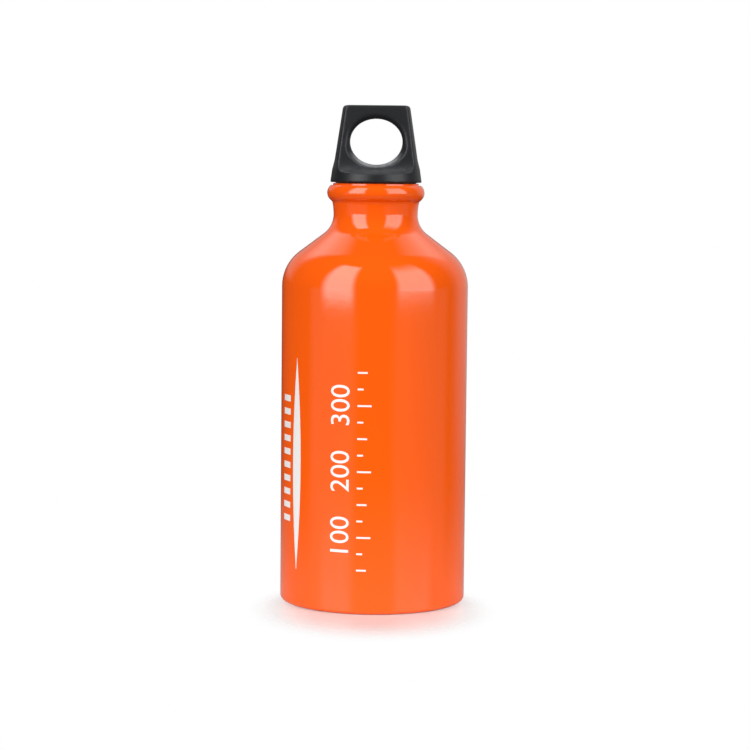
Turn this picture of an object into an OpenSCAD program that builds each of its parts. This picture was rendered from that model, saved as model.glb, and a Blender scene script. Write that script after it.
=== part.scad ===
// Half-litre camping fuel bottle: a one-piece aluminium shell, a threaded
// ring pressed into its neck, a plastic screw cap with a carrying loop, and
// the cap's O-ring. The origin is the centre of the base and Z points up.

/* [Bottle body] */
// Outside diameter of the cylinder
body_d = 73; // [66:0.5:90]
// Height of the bottle from the table to its rim, without the cap
rim_h = 164.2; // [130:0.1:260]
// Wall of the cylinder, shoulder and neck
wall = 1.0; // [0.6:0.1:1.6]
// Radius where the cylinder turns into the shoulder
shoulder_r = 16.9; // [8:0.1:20]
// Slope of the shoulder's straight stretch, in degrees from level
shoulder_slope = 37; // [25:0.1:45]
// Radius of the hollow where the shoulder turns up into the neck
neck_root_r = 9.3; // [6:0.1:20]

/* [Base] */
// Thickness of the base
base_wall = 1.6; // [1:0.1:3]
// Outside radius at the foot of the cylinder
foot_r = 1.5; // [0.5:0.1:3]
// Width of the flat ring that the bottle stands on
ring_w = 1.8; // [1:0.1:4]
// Height and width of the bevel inside the standing ring
heel = 1.2; // [0.4:0.1:2.5]
// Rise of the hollow base above the bevel
dome_rise = 4.5; // [1:0.1:8]
// Inside radius where the base meets the cylinder
inner_foot_r = 1.2; // [0.4:0.1:1.6]

/* [Neck] */
// Outside diameter of the neck at its waist
neck_d = 33; // [31:0.1:35]
// Depth of the waist below the rim
waist_drop = 12.2; // [11:0.1:20]
// Widening of the neck from its waist up to the middle of the bead
neck_flare = 1.6; // [0.5:0.1:2]
// Depth of the bead's widest ring below the rim
bead_drop = 3.7; // [3.7:0.1:4.4]
// Reach of the bead past the neck's waist
bead_out = 2.55; // [2.3:0.05:3]
// Radius of the bead's section
bead_r = 3.8; // [3.2:0.1:3.8]
// Fillet under the bead
bead_fillet_r = 1.6; // [0.4:0.1:2]
// Wall of the lip that stands round the flange of the thread ring
lip_wall = 1.0; // [0.8:0.1:1.5]
// Rounding of the lip's outer edge
lip_round = 0.4; // [0.1:0.1:0.6]

/* [Neck thread ring] */
// Depth of the ring below the rim
ring_h = 15; // [13:0.5:20]
// Wall of the ring behind its thread
ring_wall = 0.9; // [0.6:0.1:1.2]
// Play between the ring and the neck that it is pressed into
press_gap = 0.03; // [0.01:0.01:0.06]
// Reach of the flange past the neck's bore
flange_lap = 0.7; // [0.4:0.1:1]
// Thickness of the flange, which is let into the rim
flange_t = 1.0; // [0.6:0.1:1.4]
// Bevel at the mouth of the ring
mouth_bevel = 0.3; // [0.1:0.1:0.5]

/* [Thread] */
// Rise of the thread in one turn
pitch = 4; // [3.8:0.1:5]
// Height of the thread's ridges
thread_h = 1.05; // [0.8:0.05:1.3]
// Width of a ridge at its crest
crest_w = 1.2; // [0.8:0.05:1.3]
// Slope of the ridges' flanks, in degrees from square to the axis
flank = 30; // [20:1:35]
// Play between a crest and the root facing it
thread_play = 0.25; // [0.15:0.05:0.4]
// Depth below the rim at which the ring's ridge ends
ring_thread_drop = 3; // [2.6:0.1:4]
// Height above the ring's foot at which its ridge begins
ring_thread_rise = 2; // [1.6:0.1:3]
// Depth below the rim at which the plug's ridge ends
plug_thread_drop = 2; // [1.6:0.1:3]
// Height above the plug's foot at which its ridge begins
plug_thread_rise = 3; // [1.6:0.1:4]
// Part of a turn in which a ridge fades out at its ends
fade_turns = 0.2; // [0.1:0.05:0.3]

/* [Cap] */
// Height of the cap above its lower edge
cap_h = 30; // [28:0.1:40]
// Gap between the rim and the lower edge of the cap
cap_gap = 0.3; // [0.2:0.1:1]
// Reach of the skirt's lower edge past the bottle's lip
skirt_lap = 0.7; // [0.6:0.05:2]
// Height of the skirt
skirt_h = 5.2; // [4.4:0.1:6]
// Distance by which the skirt draws in over its height
skirt_in = 0.75; // [0.2:0.05:1]
// Height of the shoulder between the skirt and the loop
step_h = 3.4; // [2:0.1:5]
// Distance by which that shoulder draws in
step_in = 0.9; // [0.3:0.05:1.5]
// Distance by which the loop draws in from its foot to its top
loop_in = 3.05; // [1:0.05:4]
// Rounding of the cap's top edge
top_round = 1.3; // [0.5:0.1:2]
// Length of the plug below the rim
plug_h = 14; // [12:0.5:16]
// Length of the plain collar above the plug's thread, below the rim
collar_h = 1.3; // [0.6:0.1:1.4]
// Play between the collar and the mouth of the thread ring
collar_play = 0.5; // [0.3:0.05:0.7]
// Wall of the hollow plug
plug_wall = 2.6; // [1.8:0.1:3.4]
// Height to which the plug is hollow, above the cap's lower edge
hollow_h = 2.6; // [1:0.1:3]

/* [Loop] */
// Thickness of the loop at its top
loop_top_t = 11; // [8:0.5:14]
// Lean of the loop's front and back faces, in degrees
face_lean = 4; // [0:0.5:8]
// Radius of the hollow between the loop's face and the ledge
scoop_r = 5; // [3:0.5:7]
// Fall of the ledge towards the skirt, in degrees
ledge_slope = 8; // [2:0.5:14]
// Height of the ledge's edge above the cap's lower edge
ledge_h = 3.4; // [3.2:0.1:5]
// Width of the finger hole
hole_w = 20.5; // [16:0.1:22]
// Height of the finger hole
hole_h = 17.9; // [14:0.1:19]
// Height of the hole's centre above the cap's lower edge
hole_z = 15.9; // [15.5:0.1:18]
// Width of the rounding round the hole
hole_round = 2; // [0.6:0.1:2.2]
// Depth of the rounding round the hole
round_depth = 3; // [1:0.1:3.5]
// Lean of the rounding's lower half, which follows the loop's swelling foot, in degrees
round_lean = 11; // [4:0.5:14]

/* [O-ring] */
// Thickness of the O-ring
oring_t = 2.4; // [1.8:0.1:2.8]
// Play between the O-ring and what it touches
oring_play = 0.05; // [0.03:0.01:0.1]

/* [Hidden] */

$fn = 96;
arc_steps = 12;
thread_steps = 36;
hole_steps = 48;
// Depth to which a ridge is sunk into its wall, so that they are one piece
sink = 0.3;
// Height left to a ridge where it has faded out
fade_left = 0.15;
// Overrun of a cut past the surface that it opens
over = 1;
// Part of the quarter turn that the hole's rounding takes, in degrees
round_turn = 80;
round_steps = 4;
// Overrun of the hole's rounding, straight out past the face
round_past = 3;

body_r = body_d / 2;
neck_r = neck_d / 2;
waist_z = rim_h - waist_drop;
neck_bore_r = neck_r - wall;

// Radii from the neck's bore inwards to the plug
ring_r = neck_bore_r - press_gap;
ring_major_r = ring_r - ring_wall;
ring_minor_r = ring_major_r - thread_h;
plug_crest_r = ring_major_r - thread_play;
plug_r = ring_minor_r - thread_play;
collar_r = ring_major_r - collar_play;

// Radii from the neck's bore outwards to the cap's skirt
flange_r = neck_bore_r + flange_lap;
recess_r = flange_r + press_gap;
lip_r = recess_r + lip_wall;
skirt_r = lip_r + skirt_lap;
skirt_top_r = skirt_r - skirt_in;
loop_foot_r = skirt_top_r - step_in;
loop_top_r = loop_foot_r - loop_in;

// Start, length and angle of the two ridges, half a pitch apart
ring_thread_z = rim_h - ring_h + ring_thread_rise;
ring_turns = (rim_h - ring_thread_drop - ring_thread_z) / pitch;
plug_bottom_z = rim_h - plug_h;
plug_thread_z = plug_bottom_z + plug_thread_rise;
plug_turns = (rim_h - plug_thread_drop - plug_thread_z) / pitch;
plug_start = 360 * (plug_thread_z - ring_thread_z) / pitch - 180;

cap_z = rim_h + cap_gap;
oring_r = collar_r + oring_play + oring_t / 2;
oring_z = rim_h + oring_play + oring_t / 2;
groove_r = oring_r + oring_t / 2 + oring_play;
groove_h = oring_z + oring_t / 2 + oring_play - cap_z;

// Points on an arc about a centre, from one angle to another, where skip
// leaves out the first point of an arc that carries on from another one
function arc(centre, r, from, to, steps = arc_steps, skip = 0) = [
    for (i = [skip : steps])
        let (a = from + (to - from) * i / steps)
            centre + r * [cos(a), sin(a)]
];

// The point where two circles cross, on the right of the line between them
function crossing(a, ra, b, rb) =
    let (
        d = norm(b - a),
        u = (b - a) / d,
        along = (ra * ra - rb * rb + d * d) / (2 * d),
        across = sqrt(ra * ra - along * along)
    )
    a + along * u + across * [u[1], -u[0]];

function direction(from, to) = atan2(to[1] - from[1], to[0] - from[0]);

function reversed(points) = [for (i = [len(points) - 1 : -1 : 0]) points[i]];

// Shallow dome from the axis down to its edge
function dome(edge_r, edge_z, rise) =
    let (
        r = (edge_r * edge_r + rise * rise) / (2 * rise),
        centre = [0, edge_z + rise - r]
    )
    arc(centre, r, 90, direction(centre, [edge_r, edge_z]));

// Shoulder and waist, with the wall's outer face at 0 and its inner at wall
function shoulder(inset) =
    let (
        turn = 90 - shoulder_slope,
        root_centre = [neck_r + neck_root_r, waist_z],
        root_end = root_centre - neck_root_r * [cos(turn), sin(turn)],
        top_r = body_r - shoulder_r * (1 - cos(turn)),
        top_z = root_end[1] - (top_r - root_end[0]) * tan(shoulder_slope),
        top_centre = [body_r - shoulder_r, top_z - shoulder_r * sin(turn)]
    )
    concat(
        arc(top_centre, shoulder_r - inset, 0, turn),
        arc(root_centre, neck_root_r + inset, 180 + turn, 180)
    );

// Upper neck, bead and lip
function bead() =
    let (
        bead_centre = [neck_r + bead_out - bead_r, rim_h - bead_drop],
        flare_h = bead_centre[1] - waist_z,
        flare_r = (flare_h * flare_h + neck_flare * neck_flare) / (2 * neck_flare),
        flare_centre = [neck_r + flare_r, waist_z],
        fillet_centre = crossing(
            bead_centre, bead_r + bead_fillet_r,
            flare_centre, flare_r - bead_fillet_r
        ),
        flare_end = direction(flare_centre, fillet_centre),
        bead_start = direction(bead_centre, fillet_centre),
        bead_end = acos((lip_r - bead_centre[0]) / bead_r)
    )
    concat(
        arc(flare_centre, flare_r, 180, flare_end, 6, skip = 1),
        arc(fillet_centre, bead_fillet_r, flare_end, bead_start + 180, 4, skip = 1),
        arc(bead_centre, bead_r, bead_start, bead_end, skip = 1),
        arc([lip_r - lip_round, rim_h - lip_round], lip_round, 0, 90, 4)
    );

function shell_outside() =
    let (ring_in = body_r - foot_r - ring_w)
    concat(
        dome(ring_in - heel, heel, dome_rise),
        [[ring_in, 0]],
        arc([body_r - foot_r, foot_r], foot_r, -90, 0, 6),
        shoulder(0),
        bead()
    );

function shell_inside() =
    let (
        mitre = base_wall * tan(22.5),
        ring_in = body_r - foot_r - ring_w + mitre,
        bore_r = body_r - wall,
        fillet_r = min(inner_foot_r, bore_r - ring_in),
        corner = [bore_r - fillet_r, base_wall + fillet_r]
    )
    concat(
        dome(ring_in - heel, base_wall + heel, dome_rise),
        [[ring_in, base_wall]],
        arc(corner, fillet_r, -90, 0, 6),
        shoulder(wall),
        [
            [neck_bore_r, rim_h - flange_t],
            [recess_r, rim_h - flange_t],
            [recess_r, rim_h]
        ]
    );

// Trapezoid ridge wound up a wall, right-handed, fading out at both ends
module thread_ridge(root_r, crest_r, z, turns, start = 0) {
    out = crest_r > root_r ? 1 : -1;
    steps = round(turns * thread_steps);
    root_w = crest_w + 2 * thread_h * tan(flank);
    sunk_w = root_w + 2 * sink * tan(flank);
    ring = [for (i = [0 : steps])
        let (
            turned = turns * i / steps,
            left = min(turned, turns - turned) / fade_turns,
            height = thread_h * min(1, max(fade_left, left)),
            a = start + 360 * turned,
            mid = z + pitch * turned,
            tip_w = root_w - 2 * height * tan(flank)
        )
        for (p = [
            [root_r - out * sink, -sunk_w / 2],
            [root_r - out * sink, sunk_w / 2],
            [root_r + out * height, tip_w / 2],
            [root_r + out * height, -tip_w / 2]
        ])
            [p[0] * cos(a), p[0] * sin(a), mid + p[1]]
    ];
    last = 4 * steps;
    sides = [for (i = [0 : steps - 1]) for (j = [0 : 3])
        let (
            a = 4 * i + j,
            b = 4 * i + (j + 1) % 4
        )
        for (triangle = [[b + 4, b, a], [a + 4, b + 4, a]]) triangle
    ];
    ends = [[0, 1, 2], [0, 2, 3], [last + 2, last + 1, last], [last + 3, last + 2, last]];
    all = concat(sides, ends);
    polyhedron(
        points = ring,
        faces = out > 0 ? all : [for (f = all) [f[2], f[1], f[0]]]
    );
}

module bottle_shell() {
    color("#fb6a1a")
        rotate_extrude()
            polygon(concat(shell_outside(), reversed(shell_inside())));
}

// Threaded aluminium ring in the neck, with a flange let into the rim
module neck_thread_ring() {
    color("#c9ccd0")
        union() {
            rotate_extrude()
                polygon([
                    [ring_major_r, rim_h - ring_h],
                    [ring_r, rim_h - ring_h],
                    [ring_r, rim_h - flange_t],
                    [flange_r, rim_h - flange_t],
                    [flange_r, rim_h],
                    [ring_major_r + mouth_bevel, rim_h],
                    [ring_major_r, rim_h - mouth_bevel]
                ]);
            thread_ridge(ring_major_r, ring_minor_r, ring_thread_z, ring_turns);
        }
}

// Section of the cap without its plug, from the skirt to the top
function cap_outline() =
    let (
        top_centre = [loop_top_r - top_round, cap_z + cap_h - top_round],
        lean = atan(loop_in / (cap_h - skirt_h - step_h - top_round))
    )
    concat(
        [
            [0, cap_z],
            [skirt_r, cap_z],
            [skirt_top_r, cap_z + skirt_h],
            [loop_foot_r, cap_z + skirt_h + step_h]
        ],
        arc(top_centre, top_round, lean, 90, 6),
        [[0, cap_z + cap_h]]
    );

// Space in front of the loop's face and above the ledge, seen from the side
module scoop_section() {
    edge_r = skirt_r - skirt_in * ledge_h / skirt_h;
    edge = [edge_r, cap_z + ledge_h];
    top = [loop_top_t / 2, cap_z + cap_h];
    up = [-sin(face_lean), cos(face_lean)];
    out = [cos(face_lean), sin(face_lean)];
    // Length of the face from the top down to where it would meet the ledge
    face_len = (top[1] - edge[1] - (edge_r - top[0]) * tan(ledge_slope))
        / (up[1] + up[0] * tan(ledge_slope));
    foot = (90 + face_lean + ledge_slope) / 2;
    centre = top - (face_len - scoop_r / tan(foot)) * up + scoop_r * out;
    polygon(concat(
        [
            edge + over * [1, -tan(ledge_slope)],
            [edge_r + over, top[1] + over],
            top + over * up
        ],
        arc(centre, scoop_r, 180 + face_lean, 270 - ledge_slope, 8)
    ));
}

// Finger hole through the loop, an ellipse that rounds out to both faces
module finger_hole() {
    // Each step of the rounding, as its growth and its depth in the face
    rounding = [for (i = [0 : round_steps])
        let (a = round_turn * i / round_steps)
            [hole_round * (1 - cos(a)), round_depth * (sin(a) - 1)]
    ];
    side = concat(rounding, [rounding[round_steps] + [0, round_past]]);
    count = 2 * len(side);
    half_t = loop_top_t / 2 + (cap_h - hole_z) * tan(face_lean);
    points = [for (i = [0 : count - 1])
        let (
            front = i < len(side),
            step = front ? side[len(side) - 1 - i] : side[i - len(side)]
        )
        for (j = [0 : hole_steps - 1])
            let (
                a = 360 * (j + 0.5) / hole_steps,
                lean = a < 180 ? face_lean : round_lean,
                swell = hole_h / 2 * sin(a) * tan(lean),
                y = half_t - swell + step[1]
            )
            [
                (hole_w / 2 + step[0]) * cos(a),
                front ? -y : y,
                (hole_h / 2 + step[0]) * sin(a)
            ]
    ];
    sides = [for (i = [0 : count - 2]) for (j = [0 : hole_steps - 1])
        let (
            a = i * hole_steps + j,
            b = i * hole_steps + (j + 1) % hole_steps
        )
        for (triangle = [[a, b, b + hole_steps], [a, b + hole_steps, a + hole_steps]])
            triangle
    ];
    far = (count - 1) * hole_steps;
    ends = [for (j = [1 : hole_steps - 2])
        for (triangle = [[j + 1, j, 0], [far, far + j, far + j + 1]]) triangle
    ];
    translate([0, 0, cap_z + hole_z]) polyhedron(points, concat(sides, ends));
}

// Cut that leaves the loop standing on the back half of the ledge
module scoop() {
    rotate([90, 0, -90])
        translate([0, 0, -skirt_r])
            linear_extrude(2 * skirt_r) scoop_section();
}

// Groove for the O-ring, open at the cap's underside
module seal_groove() {
    translate([0, 0, cap_z - over])
        difference() {
            cylinder(r = groove_r, h = groove_h + over);
            cylinder(r = collar_r, h = groove_h + over);
        }
}

module screw_cap() {
    collar_bottom_z = rim_h - collar_h;
    color("#2b2a2d")
        difference() {
            union() {
                rotate_extrude() polygon(cap_outline());
                translate([0, 0, collar_bottom_z])
                    cylinder(r = collar_r, h = cap_z + groove_h - collar_bottom_z);
                translate([0, 0, plug_bottom_z])
                    cylinder(r = plug_r, h = cap_z - plug_bottom_z);
                thread_ridge(plug_r, plug_crest_r, plug_thread_z, plug_turns, plug_start);
            }
            scoop();
            mirror([0, 1, 0]) scoop();
            finger_hole();
            seal_groove();
            translate([0, 0, plug_bottom_z - over])
                cylinder(r = plug_r - plug_wall, h = cap_z + hollow_h - plug_bottom_z + over);
        }
}

// Rubber ring on the plug's collar, between the cap and the thread ring
module cap_o_ring() {
    color("#1b1b1d")
        rotate_extrude()
            translate([oring_r, oring_z]) circle(d = oring_t, $fn = 48);
}

bottle_shell();
neck_thread_ring();
screw_cap();
cap_o_ring();
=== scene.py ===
"""Looks of a half-litre camping fuel bottle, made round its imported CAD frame.

The enamelled shell, its printed fill scale, the threaded ring in the neck, the moulded screw cap and its
O-ring are modelled again at the frame's sizes, with smooth surfaces and finished edges.
"""

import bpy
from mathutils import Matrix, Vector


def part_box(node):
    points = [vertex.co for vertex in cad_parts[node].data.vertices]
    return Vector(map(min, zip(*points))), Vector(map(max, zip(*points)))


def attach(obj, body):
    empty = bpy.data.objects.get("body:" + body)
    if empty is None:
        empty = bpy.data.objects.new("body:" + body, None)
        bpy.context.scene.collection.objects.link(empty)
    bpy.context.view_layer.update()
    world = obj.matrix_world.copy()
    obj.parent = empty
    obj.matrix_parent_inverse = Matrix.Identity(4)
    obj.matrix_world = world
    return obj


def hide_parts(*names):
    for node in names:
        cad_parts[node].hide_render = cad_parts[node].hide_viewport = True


bl_info = {
    "name": "Camping fuel bottle",
    "version": (1, 0, 0),
    "blender": (4, 5, 0),
    "location": "3D View > Sidebar > Fuel bottle",
    "description": "Models and finishes a camping fuel bottle with a screw cap",
    "category": "Object",
}

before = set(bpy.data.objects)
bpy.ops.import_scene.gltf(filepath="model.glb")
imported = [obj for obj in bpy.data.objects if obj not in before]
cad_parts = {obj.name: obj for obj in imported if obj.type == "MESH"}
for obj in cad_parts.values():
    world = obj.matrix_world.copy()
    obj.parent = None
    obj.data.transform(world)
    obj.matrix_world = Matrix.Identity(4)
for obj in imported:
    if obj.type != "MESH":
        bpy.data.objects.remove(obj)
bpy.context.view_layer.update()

import math

import bmesh
import bpy
from bpy.props import FloatProperty, FloatVectorProperty, IntProperty, PointerProperty
from mathutils import Matrix, Vector

MM = 0.001
SHELL_LOW, SHELL_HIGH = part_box("bottle_shell")
RING_LOW, RING_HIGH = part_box("neck_thread_ring")
CAP_LOW, CAP_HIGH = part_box("screw_cap")
SEAL_LOW, SEAL_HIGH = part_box("cap_o_ring")

# Facets round the axis of a turned shape, and along the bends of its section
ROUND_STEPS = 256
BEND_STEPS = 16
# Facets in one turn of a thread
THREAD_STEPS = 96
MERGE_DISTANCE = 1e-6
SHARP_ANGLE = math.radians(32)
# Radiance of each soft light, then its bounds in azimuth and in elevation with the width in which each
# bound fades, in degrees
STUDIO_LIGHTS = (
    # Left soft box
    (4.9, (-66, -27, 14, 10), (-2.8, 59, 0.55, 6)),
    # Right soft box, which is brighter towards its top
    (0.8, (29, 77, 9, 12), (-2.9, 52, 0.5, 28)),
    (2.9, (29, 77, 9, 12), (-2.45, 52, 0.5, 28)),
    # Table's far parts on the left and on the right
    (0.36, (-84, -24, 14, 14), (-20, 1, 4, 8)),
    (0.24, (24, 100, 14, 14), (-20, 1, 4, 8)),
    # Pale wall behind, on the left and on the right
    (0.4, (-172, -130, 16, 22), (6, 52, 10, 24)),
    (0.5, (118, 172, 30, 16), (-8, 52, 16, 24)),
    # Its brighter top on the left and on the right
    (1.1, (-172, -136, 16, 16), (34, 64, 20, 12)),
    (0.8, (136, 172, 16, 16), (34, 64, 20, 12)),
)


def colour(hex_code):
    """Linear RGB of an sRGB hex code."""
    parts = [int(hex_code[i : i + 2], 16) / 255 for i in (1, 3, 5)]
    return [p / 12.92 if p <= 0.04045 else ((p + 0.055) / 1.055) ** 2.4 for p in parts]


def length(name, description, millimetres):
    return FloatProperty(
        name=name, description=description, default=millimetres * MM, unit="LENGTH", precision=5
    )


def angle(name, description, degrees):
    return FloatProperty(
        name=name, description=description, default=math.radians(degrees), subtype="ANGLE"
    )


def tint(name, description, hex_code):
    return FloatVectorProperty(
        name=name, description=description, default=colour(hex_code), subtype="COLOR", min=0, max=1
    )


class BottleSizes(bpy.types.PropertyGroup):
    """Sizes of the aluminium shell"""

    body_r: length("Body radius", "Outside radius of the cylinder", SHELL_HIGH.x / MM)
    rim_z: length("Rim height", "Height of the rim above the table", SHELL_HIGH.z / MM)
    wall: length("Wall", "Wall of the cylinder, shoulder and neck", 1.0)
    shoulder_r: length("Shoulder radius", "Radius where the cylinder turns inwards", 16.9)
    shoulder_slope: angle("Shoulder slope", "Slope of the shoulder from level", 37)
    root_r: length("Neck root radius", "Radius where the shoulder turns up", 9.3)
    base_wall: length("Base wall", "Thickness of the base", 1.6)
    foot_r: length("Foot radius", "Radius at the foot of the cylinder", 1.5)
    ring_w: length("Standing ring", "Width of the flat ring it stands on", 1.8)
    heel: length("Heel", "Height of the bevel inside the standing ring", 1.2)
    dome_rise: length("Dome rise", "Rise of the hollow base above the heel", 4.5)
    inner_foot_r: length("Inner foot radius", "Radius inside the foot", 1.2)
    neck_r: length("Neck radius", "Outside radius of the neck at its waist", 16.5)
    waist_drop: length("Waist depth", "Depth of the waist below the rim", 12.2)
    neck_flare: length("Neck flare", "Widening from the waist to the bead", 1.6)
    bead_drop: length("Bead depth", "Depth of the bead's middle below the rim", 3.7)
    bead_out: length("Bead reach", "Reach of the bead past the waist", 2.55)
    bead_r: length("Bead radius", "Radius of the bead's section", 3.8)
    bead_fillet_r: length("Bead fillet", "Fillet under the bead", 1.6)
    bead_end: angle("Bead end", "Angle at which the bead's section ends below the lip", 50)
    lip_wall: length("Lip wall", "Wall of the lip round the flange", 0.55)
    lip_round: length("Lip rounding", "Rounding of the lip's outer edge", 0.3)


class ThreadSizes(bpy.types.PropertyGroup):
    """Sizes of the ring in the neck and of the two threads"""

    ring_foot_z: length("Ring foot", "Height of the ring's lower end", RING_LOW.z / MM)
    ring_wall: length("Ring wall", "Wall of the ring behind its thread", 0.9)
    press_gap: length("Press gap", "Play between the ring and the neck", 0.03)
    flange_r: length("Flange radius", "Radius of the ring's flange", RING_HIGH.x / MM)
    flange_t: length("Flange thickness", "Thickness of the flange", 1.0)
    mouth_bevel: length("Mouth bevel", "Bevel at the mouth of the ring", 0.3)
    pitch: length("Pitch", "Rise of the thread in one turn", 4)
    height: length("Thread height", "Height of the ridges", 1.05)
    crest_w: length("Crest width", "Width of a ridge at its crest", 1.2)
    flank: angle("Flank", "Slope of the flanks from square to the axis", 30)
    play: length("Thread play", "Play between a crest and the root facing it", 0.25)
    ring_start: length("Ring thread start", "Start above the ring's foot", 2)
    ring_end: length("Ring thread end", "End below the rim", 3)
    plug_start: length("Plug thread start", "Start above the plug's foot", 3)
    plug_end: length("Plug thread end", "End below the rim", 2)
    fade: FloatProperty(name="Fade", description="Turns in which a ridge runs out", default=0.2)


class CapSizes(bpy.types.PropertyGroup):
    """Sizes of the screw cap and its seal"""

    plug_foot_z: length("Plug foot", "Height of the plug's lower end", CAP_LOW.z / MM)
    top_z: length("Top", "Height of the top of the loop", CAP_HIGH.z / MM)
    gap: length("Gap", "Gap between the rim and the skirt", 0.3)
    skirt_r: length("Skirt radius", "Radius of the skirt's lower edge", CAP_HIGH.x / MM)
    skirt_h: length("Skirt height", "Height of the skirt", 5.2)
    skirt_in: length("Skirt draw", "Distance by which the skirt draws in", 0.75)
    step_h: length("Step height", "Height of the step above the skirt", 3.4)
    step_in: length("Step draw", "Distance by which the step draws in", 0.9)
    loop_in: length("Loop draw", "Distance by which the loop draws in", 3.05)
    top_round: length("Top rounding", "Rounding of the loop's top edge", 1.3)
    collar_h: length("Collar", "Length of the collar above the plug's thread", 1.3)
    collar_play: length("Collar play", "Play between the collar and the ring", 0.5)
    plug_wall: length("Plug wall", "Wall of the hollow plug", 2.6)
    hollow_h: length("Hollow", "Reach of the hollow above the skirt's edge", 2.6)
    groove_play: length("Groove play", "Play between the O-ring and its groove", 0.05)
    loop_t: length("Loop thickness", "Thickness of the loop at its top", 11)
    face_lean: angle("Face lean", "Lean of the loop's faces", 4)
    scoop_r: length("Scoop radius", "Hollow between the loop's face and the ledge", 5)
    ledge_slope: angle("Ledge slope", "Fall of the ledge towards the skirt", 8)
    ledge_h: length("Ledge height", "Height of the ledge's edge", 3.4)
    hole_w: length("Hole width", "Width of the finger hole", 20.5)
    hole_h: length("Hole height", "Height of the finger hole", 17.9)
    hole_z: length("Hole centre", "Height of the hole above the skirt's edge", 15.9)
    hole_round: length("Hole rounding", "Width of the rounding round the hole", 2)
    round_depth: length("Rounding depth", "Depth of the rounding round the hole", 3)
    round_lean: angle("Rounding lean", "Lean of the rounding's lower half, along the loop's foot", 11)
    voxel: length("Skin cell", "Cell of the moulding's skin", 0.33)
    soften: IntProperty(name="Softening", description="Passes that round its edges", default=6)


class PrintSizes(bpy.types.PropertyGroup):
    """Sizes and places of the white print, with arcs measured from the front to the right"""

    ink_t: length("Ink", "Thickness of the ink", 0.03)
    number_h: length("Numbers", "Height of the numbers", 7.6)
    number_at: length("Numbers' place", "Middle of the numbers, as an arc", -12.6)
    tick_at: length("Ticks' place", "Left ends of the ticks, as an arc", -6.2)
    tick_t: length("Tick thickness", "Thickness of a tick", 0.7)
    tick_long: length("Long tick", "Length of a tick beside a number", 5.4)
    tick_middle: length("Middle tick", "Length of a tick half way", 3.8)
    tick_short: length("Short tick", "Length of the other ticks", 2.3)
    band_at: length("Band's place", "Middle of the pointed band, as an arc", -34.5)
    band_w: length("Band width", "Greatest width of the band", 5.2)
    band_low: length("Band foot", "Height of the band's lower point", 15)
    band_high: length("Band top", "Height of the band's upper point", 97)
    bar_at: length("Bars' place", "Middle of the short bars, as an arc", -42.5)
    bar_w: length("Bar width", "Length of a short bar round the bottle", 6.4)
    bar_t: length("Bar thickness", "Height of a short bar", 2.4)
    bar_step: length("Bar spacing", "Distance between short bars", 5.2)
    bar_low: length("First bar", "Height of the lowest short bar", 33)
    bar_count: IntProperty(name="Bars", description="Number of short bars", default=10)


class Finishes(bpy.types.PropertyGroup):
    """Colours of the finishes"""

    enamel: tint("Enamel", "Stoved enamel of the shell", "#fd5f0b")
    aluminium: tint("Aluminium", "Bare aluminium", "#e3e4e6")
    lacquered: tint("Lacquered aluminium", "Inside of the shell", "#dcd5c6")
    plastic: tint("Polypropylene", "Moulded cap", "#1c1d20")
    # Pale grey of the painted highlight on the cap's upward faces and round the lower edge of its finger
    # hole
    plastic_worn: tint("Painted highlight on polypropylene", "Pale grey painted where light falls on the cap", "#8a8b8e")
    rubber: tint("Rubber", "Moulded O-ring", "#161617")
    ink: tint("Ink", "Screen-printed ink", "#f6f3f1")
    floor: tint("Floor", "Pale table", "#f4f2f1")


class FuelBottle(bpy.types.PropertyGroup):
    """Everything that can be set on the fuel bottle"""

    bottle: PointerProperty(name="Bottle", description="Sizes of the shell", type=BottleSizes)
    thread: PointerProperty(name="Thread", description="Sizes of the threads", type=ThreadSizes)
    cap: PointerProperty(name="Cap", description="Sizes of the cap", type=CapSizes)
    print: PointerProperty(name="Print", description="Sizes of the print", type=PrintSizes)
    finish: PointerProperty(name="Finishes", description="Colours", type=Finishes)


def add_node(tree, kind, inputs=None, **settings):
    """Adds a shader node, with its settings and with a value or a link for each input that is named."""
    made = tree.nodes.new(kind)
    for name, value in settings.items():
        setattr(made, name, value)
    for socket, value in (inputs or {}).items():
        if isinstance(value, bpy.types.NodeSocket):
            tree.links.new(value, made.inputs[socket])
        else:
            made.inputs[socket].default_value = value
    return made


def new_material(name):
    """A material with its Principled shader and its object coordinates in metres."""
    material = bpy.data.materials.new(name)
    material.use_nodes = True
    tree = material.node_tree
    shader = tree.nodes["Principled BSDF"]
    place = add_node(tree, "ShaderNodeTexCoord").outputs["Object"]
    return material, tree, shader, place


def rgba(values):
    return (*values, 1)


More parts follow.
